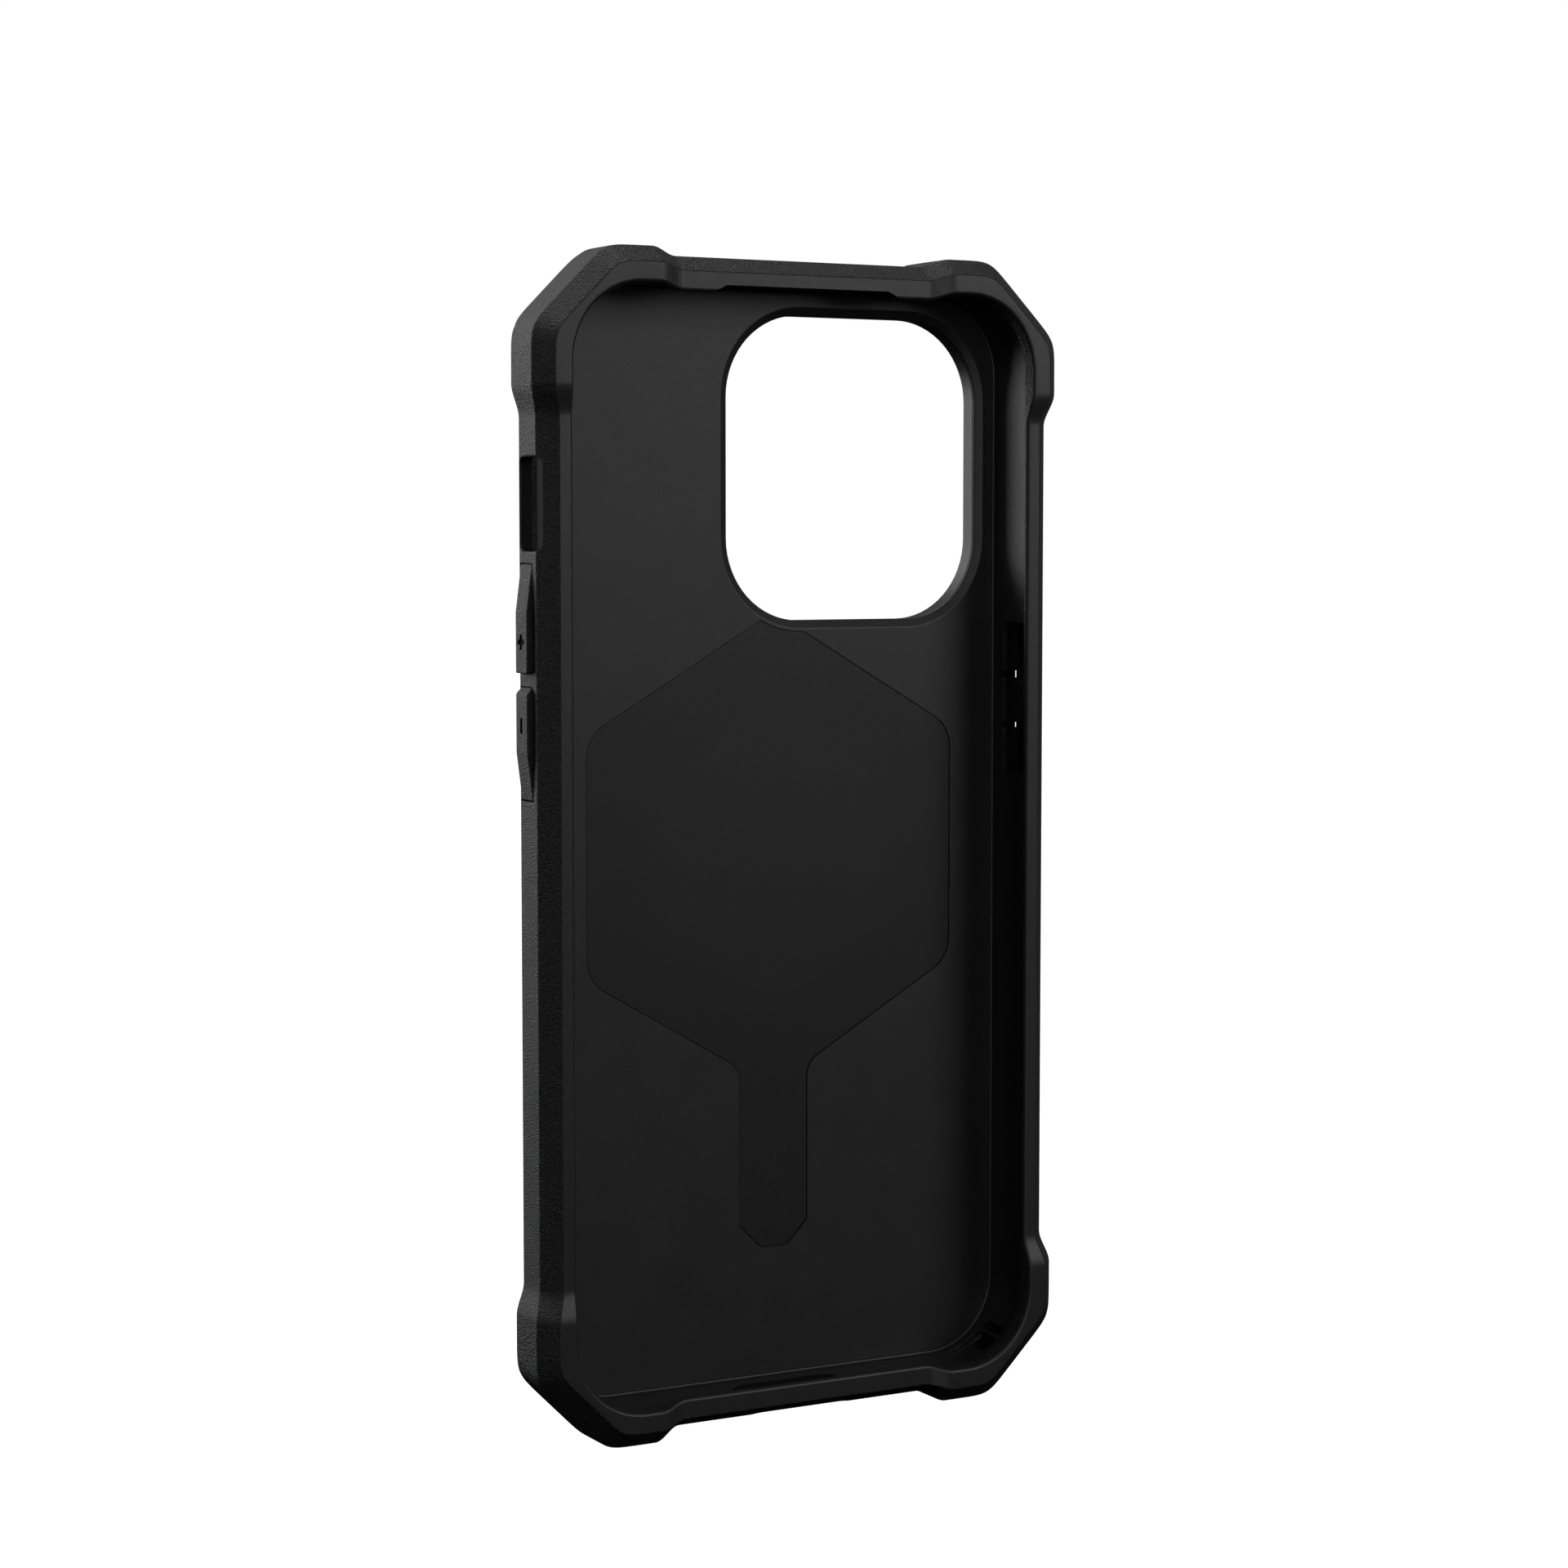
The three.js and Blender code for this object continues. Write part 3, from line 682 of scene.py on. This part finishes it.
def cover_outline(shrink):
    """Hexagon with two upright sides and cut corners, and a stem hanging from its lowest corner."""
    apothem = COVER_APOTHEM - shrink
    side = 2 * apothem / math.sqrt(3)
    stem = COVER_STEM - shrink
    bottom = COVER_BOTTOM + shrink
    root = RING_Z - side + stem / math.sqrt(3)
    right = [
        ((stem - COVER_STEM_CUT, bottom), COVER_STEM_ROUNDING),
        ((stem, bottom + COVER_STEM_CUT), COVER_STEM_ROUNDING),
        ((stem, root), COVER_FILLET),
        ((apothem, RING_Z - side / 2), COVER_CORNER),
        ((apothem, RING_Z + side / 2), COVER_CORNER),
    ]
    top = [((0, RING_Z + side), 0)]
    left = [((-x, z), radius) for (x, z), radius in reversed(right)]
    return rounded([(Vector(corner), radius) for corner, radius in right + top + left], steps=10)


def cover_plate(name, shrink, front, back):
    """A plate in the film's outline, which keeps clear of the camera opening."""
    made = plate(name, cover_outline(shrink), front, back)
    clearance = CAMERA_SLOPE + COVER_RIM_CLEARANCE + shrink
    return cut(made, [plate("rim_cutter", camera_outline(clearance), front - OVERCUT, back + OVERCUT)])


def camera_mouth():
    """Cutter for the camera opening in the floor, with a shallow sloping rim rounded at both ends."""
    outer_rounding, inner_rounding = CAMERA_SLOPE_ROUNDING
    # The first corner only gives the outer rounding the direction of the floor.
    _, *rim = rounded([
        (Vector((CAMERA_SLOPE + 2, FLOOR)), 0),
        (Vector((CAMERA_SLOPE, FLOOR)), outer_rounding),
        (Vector((0, FLOOR + CAMERA_SLOPE_DEPTH)), inner_rounding),
        (Vector((0, LINER_BACK + OVERCUT)), 0),
    ])
    above_floor = Vector((CAMERA_SLOPE + 0.2, FLOOR - OVERCUT))
    stages = (above_floor, *rim)
    loops = [[drawn(x, depth, z) for x, z in camera_outline(margin)] for margin, depth in stages]
    return stack("camera_mouth", loops)


def floor_sheet():
    """The soft floor. Its edge runs a little way into the foot of the frame, as they are moulded together."""
    inset = FOOT - OVERLAP / 2
    sheet = stack("floor_sheet", [loop(CAVITY, FLOOR, inset), loop(CAVITY, LINER_BACK, inset)])
    pocket_back = COVER_FRONT + FILM_THICKNESS + FILM_BED_GAP
    film_pocket = cover_plate("film_pocket", 0, FLOOR - OVERCUT, pocket_back)
    return smooth(cut(sheet, [camera_mouth(), film_pocket]))


def magnet_film():
    sheet = cover_plate("magnet_film", SEAM, COVER_FRONT, COVER_FRONT + FILM_THICKNESS)
    return smooth(bevelled(sheet, FILM_EDGE, angle=60))


def back_groove():
    """A shallow groove in the back, which shows where the magnets are."""
    inner, outer = -BACK_GROOVE_OFFSET, -BACK_GROOVE_OFFSET - BACK_GROOVE_WIDTH
    front, back = SHELL_BACK - BACK_GROOVE_DEPTH, SHELL_BACK + OVERCUT
    island = plate("groove_island", cover_outline(inner), front - OVERCUT, back + OVERCUT)
    return cut(cover_plate("back_groove", outer, front, back), [island])


def back_panel():
    """The hard back shell, with rounded edges, its camera opening and a groove round the magnets."""
    edge = SHELL_SEAT_INSET + LAYER_GAP
    stages = [(SHELL_FRONT, edge)]
    for step in range(SHELL_EDGE_STEPS + 1):
        angle = step / SHELL_EDGE_STEPS * math.pi / 2
        inset = edge + SHELL_EDGE_WIDTH * (1 - math.cos(angle))
        stages.append((lerp(SHELL_EDGE_FRONT, SHELL_BACK, math.sin(angle)), inset))
    panel = stack("back_panel", [loop(CAVITY, depth, inset) for depth, inset in stages])
    hole = camera_outline(BEZEL_WALL + LAYER_GAP)
    opening = plate("opening", hole, SHELL_FRONT - OVERCUT, SHELL_BACK + OVERCUT)
    return smooth(cut(panel, [opening, back_groove()]))


def camera_rim():
    """The hard ring in the camera opening, swept round it in one rounded section."""
    section = rounded([
        (Vector((0, SHELL_FRONT)), 0.12),
        (Vector((BEZEL_WALL, SHELL_FRONT)), 0.1),
        (Vector((BEZEL_WALL, SHELL_BACK + LAYER_GAP)), 0),
        (Vector((BEZEL_FLANGE, SHELL_BACK + LAYER_GAP)), 0.15),
        (Vector((BEZEL_FLANGE, BEZEL_BACK)), 0.45),
        (Vector((0, BEZEL_BACK)), 0.3),
    ])
    loops = [[drawn(x, depth, z) for x, z in camera_outline(margin)] for margin, depth in section]
    bm = bmesh.new()
    bridge(bm, loops, closed=True)
    return smooth(build("camera_rim", bm))


# ---------------------------------------------------------------- materials


def node_of(nodes, kind, **inputs):
    made = nodes.new(kind)
    for name, value in inputs.items():
        made.inputs[name.replace("_", " ")].default_value = value
    return made


class Finish:
    """A procedural material made step by step on the object's own coordinates, in metres."""

    def __init__(self, name, colour, roughness, metallic=0.0, specular=0.5):
        self.material = bpy.data.materials.new(name)
        self.material.use_nodes = True
        self.nodes = self.material.node_tree.nodes
        self.links = self.material.node_tree.links
        self.shader = self.nodes["Principled BSDF"]
        self.shader.inputs["Base Color"].default_value = (*colour, 1)
        self.shader.inputs["Roughness"].default_value = roughness
        self.shader.inputs["Metallic"].default_value = metallic
        self.shader.inputs["Specular IOR Level"].default_value = specular
        self.coordinates = self.nodes.new("ShaderNodeTexCoord").outputs["Object"]
        self.normal = None

    def noise(self, scale, detail=2.0, stretch=None):
        """Cloudy noise with `scale` features to the metre, stretched along an axis if asked."""
        made = node_of(self.nodes, "ShaderNodeTexNoise", Scale=scale, Detail=detail)
        vector = self.coordinates
        if stretch:
            mapping = node_of(self.nodes, "ShaderNodeMapping", Scale=stretch)
            self.links.new(vector, mapping.inputs["Vector"])
            vector = mapping.outputs["Vector"]
        self.links.new(vector, made.inputs["Vector"])
        return made.outputs["Fac"]

    def ramp(self, value, low, high, start=0.35, end=0.65):
        """Spreads a value between two numbers or two colours."""
        made = self.nodes.new("ShaderNodeMapRange" if isinstance(low, float) else "ShaderNodeValToRGB")
        if isinstance(low, float):
            for name, number in (("From Min", start), ("From Max", end), ("To Min", low), ("To Max", high)):
                made.inputs[name].default_value = number
            self.links.new(value, made.inputs["Value"])
            return made.outputs["Result"]
        first, last = made.color_ramp.elements
        first.position, last.position = start, end
        first.color, last.color = (*low, 1), (*high, 1)
        self.links.new(value, made.inputs["Fac"])
        return made.outputs["Color"]

    def calculate(self, operation, *values):
        made = self.nodes.new("ShaderNodeMath")
        made.operation = operation
        for socket, value in zip(made.inputs, values):
            if isinstance(value, (int, float)):
                socket.default_value = value
            else:
                self.links.new(value, socket)
        return made.outputs["Value"]

    def hexagon(self, outside, inside):
        """Two colours, parted by the outline of the film's hexagonal window."""
        split = self.nodes.new("ShaderNodeSeparateXYZ")
        self.links.new(self.coordinates, split.inputs["Vector"])
        height = self.calculate("SUBTRACT", split.outputs["Z"], drawn(0, 0, RING_Z).z)
        x, z = self.calculate("ABSOLUTE", split.outputs["X"]), self.calculate("ABSOLUTE", height)
        part_x = self.calculate("MULTIPLY", x, math.sin(math.pi / 6))
        part_z = self.calculate("MULTIPLY", z, math.cos(math.pi / 6))
        slanted = self.calculate("ADD", part_x, part_z)
        across = self.calculate("SMOOTH_MAX", x, slanted, WINDOW_CORNER * MM)
        start, end = grow((WINDOW_APOTHEM * MM, WINDOW_APOTHEM * MM), WINDOW_BLEND * MM)
        return self.ramp(across, inside, outside, start, end)

    def bump(self, height, depth, strength=1.0):
        """Adds relief `depth` metres deep from a height between 0 and 1."""
        made = node_of(self.nodes, "ShaderNodeBump", Strength=strength, Distance=depth)
        self.links.new(height, made.inputs["Height"])
        if self.normal:
            self.links.new(self.normal, made.inputs["Normal"])
        self.normal = made.outputs["Normal"]
        self.links.new(self.normal, self.shader.inputs["Normal"])

    def drive(self, socket, value):
        self.links.new(value, self.shader.inputs[socket])


def grained_soft():
    """Spark-eroded matt grain on the outside of the soft frame."""
    finish = Finish("soft_black_grained", (0.014, 0.0146, 0.016), 0.42)
    coarse = finish.noise(4600, detail=2.0)
    finish.drive("Base Color", finish.ramp(coarse, (0.009, 0.0094, 0.0104), (0.016, 0.0166, 0.018)))
    finish.drive("Roughness", finish.ramp(finish.noise(2600), 0.36, 0.44))
    finish.bump(coarse, 0.0003)
    finish.bump(finish.noise(9500, detail=1.0), 0.00003)
    return finish.material


def satin_soft(name="soft_black_satin", colour=0.02, roughness=(0.37, 0.43)):
    """Fine matt moulded surface of the lip, the inner walls and the floor."""
    finish = Finish(name, (colour,) * 3, 0.42)
    cloud = finish.noise(160, detail=4.0)
    finish.drive("Base Color", finish.ramp(cloud, (colour * 0.9,) * 3, (colour * 1.1,) * 3))
    finish.drive("Roughness", finish.ramp(finish.noise(3000), *roughness))
    finish.bump(finish.noise(9000, detail=2.0), 0.000012)
    return finish.material


def rough_recess_painted_shade():
    """Rough untextured walls of the cut-outs and the sunk signs, with a darker colour that is painted shade
    in them.
    """
    finish = Finish("soft_black_recess_painted_shade", (0.008, 0.008, 0.0085), 0.7, specular=0.12)
    finish.drive("Roughness", finish.ramp(finish.noise(2500), 0.62, 0.78))
    finish.bump(finish.noise(6000, detail=2.0), 0.00004)
    return finish.material


def film():
    """The film over the magnets, with a hexagonal window of a slightly lighter finish in its middle."""
    finish = Finish("film_black", (0.008, 0.008, 0.0085), 0.5, specular=0.4)
    finish.drive("Base Color", finish.hexagon((0.014, 0.014, 0.0145), (0.018, 0.018, 0.0185)))
    finish.drive("Roughness", finish.ramp(finish.noise(2500), 0.4, 0.46))
    finish.bump(finish.noise(8000, detail=2.0), 0.00001)
    return finish.material


def hard_shell():
    """Hard moulded back, with a finer and harder texture than the soft frame."""
    finish = Finish("shell_black", (0.01, 0.01, 0.011), 0.42)
    finish.drive("Roughness", finish.ramp(finish.noise(3000), 0.38, 0.44))
    finish.bump(finish.noise(6000, detail=2.0), 0.00003)
    return finish.material


def nickel():
    """Plated magnet: fine brushing and cloudy plating."""
    finish = Finish("magnet_nickel", (0.62, 0.6, 0.57), 0.3, metallic=1.0)
    brushing = finish.noise(2500, stretch=(1, 12, 0.15))
    finish.drive("Base Color", finish.ramp(finish.noise(300), (0.55, 0.53, 0.5), (0.68, 0.66, 0.63)))
    finish.drive("Roughness", finish.ramp(brushing, 0.22, 0.4))
    finish.bump(brushing, 0.000004)
    return finish.material


def rolled_steel():
    """Thin rolled steel sheet: long streaks along the rolling direction."""
    finish = Finish("shield_steel", (0.36, 0.36, 0.37), 0.4, metallic=1.0)
    streaks = finish.noise(1800, stretch=(0.08, 1, 1))
    finish.drive("Base Color", finish.ramp(streaks, (0.3, 0.3, 0.31), (0.42, 0.42, 0.43)))
    finish.drive("Roughness", finish.ramp(finish.noise(600), 0.32, 0.48))
    finish.bump(streaks, 0.000006)
    return finish.material


# ---------------------------------------------------------------- studio

WORLD_LIGHT = 0.17
WORLD_FADE = (-0.35, 0.25)  # heights of the directions between which the fill light fades in
STUDIO_RADIUS = 4
STUDIO_DROP = 0.0002  # of the floor below the case's feet
# Softboxes: the way to each from the object (azimuth from -Y towards +X, elevation), its distance, size and
# radiance.
SOFTBOXES = (
    ("box_back_left", -150, 18, 0.9, (0.6, 0.9), 2.3),
    ("box_front_right", 34, 18, 0.9, (0.45, 0.45), 2.4),
    ("box_front_strip", -11, 8, 0.9, (0.1, 0.8), 4.0),
    ("box_top", -170, 70, 0.8, (0.5, 0.5), 2.7),
)


def softbox(name, azimuth, elevation, distance, size, radiance):
    """An area light that faces the middle of the object; the camera doesn't see it."""
    turn, lift = math.radians(azimuth), math.radians(elevation)
    away = Vector((math.sin(turn) * math.cos(lift), -math.cos(turn) * math.cos(lift), math.sin(lift)))
    light = bpy.data.lights.new(name, "AREA")
    light.shape = "RECTANGLE"
    light.size, light.size_y = size
    light.energy = radiance * math.pi * size[0] * size[1]
    made = bpy.data.objects.new(name, light)
    bpy.context.scene.collection.objects.link(made)
    middle = (CAD_BOX[0] + CAD_BOX[1]) / 2
    made.location = middle + away * distance
    made.rotation_euler = away.to_track_quat("Z", "Y").to_euler()
    made.visible_camera = False


def world():
    """White to the camera, and for the object a dim fill that fades out below the horizon."""
    made = bpy.data.worlds.new("studio")
    bpy.context.scene.world = made
    made.use_nodes = True
    nodes, links = made.node_tree.nodes, made.node_tree.links
    backdrop = nodes["Background"]
    backdrop.inputs["Color"].default_value = (1, 1, 1, 1)
    direction = nodes.new("ShaderNodeTexCoord")
    split = nodes.new("ShaderNodeSeparateXYZ")
    low, high = WORLD_FADE
    fade = node_of(nodes, "ShaderNodeMapRange", From_Min=low, From_Max=high, To_Max=WORLD_LIGHT)
    fill = nodes.new("ShaderNodeBackground")
    path = nodes.new("ShaderNodeLightPath")
    mix = nodes.new("ShaderNodeMixShader")
    links.new(direction.outputs["Generated"], split.inputs["Vector"])
    links.new(split.outputs["Z"], fade.inputs["Value"])
    links.new(fade.outputs["Result"], fill.inputs["Strength"])
    links.new(path.outputs["Is Camera Ray"], mix.inputs["Fac"])
    links.new(fill.outputs["Background"], mix.inputs[1])
    links.new(backdrop.outputs["Background"], mix.inputs[2])
    links.new(mix.outputs["Shader"], nodes["World Output"].inputs["Surface"])


def studio_floor():
    """A plain pale floor that glows as white as the backdrop, and throws no light back at the object."""
    bm = bmesh.new()
    bmesh.ops.create_circle(bm, cap_ends=True, segments=96, radius=STUDIO_RADIUS)
    floor = build("studio_floor", bm)
    floor.location.z = -STUDIO_DROP
    material = bpy.data.materials.new("pale_floor")
    material.use_nodes = True
    nodes, links = material.node_tree.nodes, material.node_tree.links
    glow = node_of(nodes, "ShaderNodeEmission", Color=(1, 1, 1, 1), Strength=1.0)
    matt = node_of(nodes, "ShaderNodeBsdfDiffuse", Color=(0.5, 0.5, 0.5, 1))
    both = nodes.new("ShaderNodeAddShader")
    links.new(glow.outputs["Emission"], both.inputs[0])
    links.new(matt.outputs["BSDF"], both.inputs[1])
    links.new(both.outputs["Shader"], nodes["Material Output"].inputs["Surface"])
    floor.data.materials.append(material)
    floor.visible_diffuse = False
    floor.visible_glossy = False


VIEW_FROM = (-0.21804, -0.392045, 0.11888)
VIEW_ANGLES = (85.791, 0, -29.036)
VIEW_LENS = 76.96


def camera():
    data = bpy.data.cameras.new("camera")
    data.lens = VIEW_LENS
    data.sensor_width = 36
    made = bpy.data.objects.new("camera", data)
    bpy.context.scene.collection.objects.link(made)
    made.location = VIEW_FROM
    made.rotation_euler = [math.radians(angle) for angle in VIEW_ANGLES]
    bpy.context.scene.camera = made


# ---------------------------------------------------------------- the case


def dress(obj, body, node, slot, *materials):
    """Puts a fine mesh in the place of its CAD node."""
    slots = obj.data.materials
    for index, material in enumerate(materials):
        if index < len(slots):
            slots[index] = material
        else:
            slots.append(material)
    while len(slots) > len(materials):
        slots.pop()
    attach(obj, body)
    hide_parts(node)


def case():
    # The recess material's darker colour is painted shade in the cut-outs and the sunk signs.
    grain, satin, recess = grained_soft(), satin_soft(), rough_recess_painted_shade()
    dress(bumper_frame(), "case", "bumper_frame", "soft_frame", grain, satin, recess)
    floor_finish = satin_soft("liner_satin", 0.019, (0.4, 0.46))
    dress(floor_sheet(), "case", "floor_liner", "soft_liner", floor_finish)
    dress(magnet_film(), "case", "magnet_cover", "cover_film", film())
    shell = hard_shell()
    dress(back_panel(), "case", "back_shell", "hard_shell", shell)
    dress(camera_rim(), "case", "camera_bezel", "hard_shell", shell)
    up = volume_pad("volume_up_pad", VOLUME_UP, True)
    down = volume_pad("volume_down_pad", VOLUME_DOWN, False)
    dress(up, "volume_up", "volume_up_button", "soft_button", grain, recess)
    dress(down, "volume_down", "volume_down_button", "soft_button", grain, recess)
    dress(power_bar(), "power", "power_button", "soft_button", grain)


def magnets():
    """The magnets and their shield keep their CAD shape."""
    plated, rolled = nickel(), rolled_steel()
    for name, node in frame["nodes"].items():
        if name == "magnet_shield_ring":
            node.data.materials[0] = rolled
        elif name.startswith(("ring_magnet", "alignment_magnet")):
            node.data.materials[0] = plated


camera()
world()
studio_floor()
for box in SOFTBOXES:
    softbox(*box)
bpy.context.scene.view_settings.view_transform = "Standard"
case()
magnets()
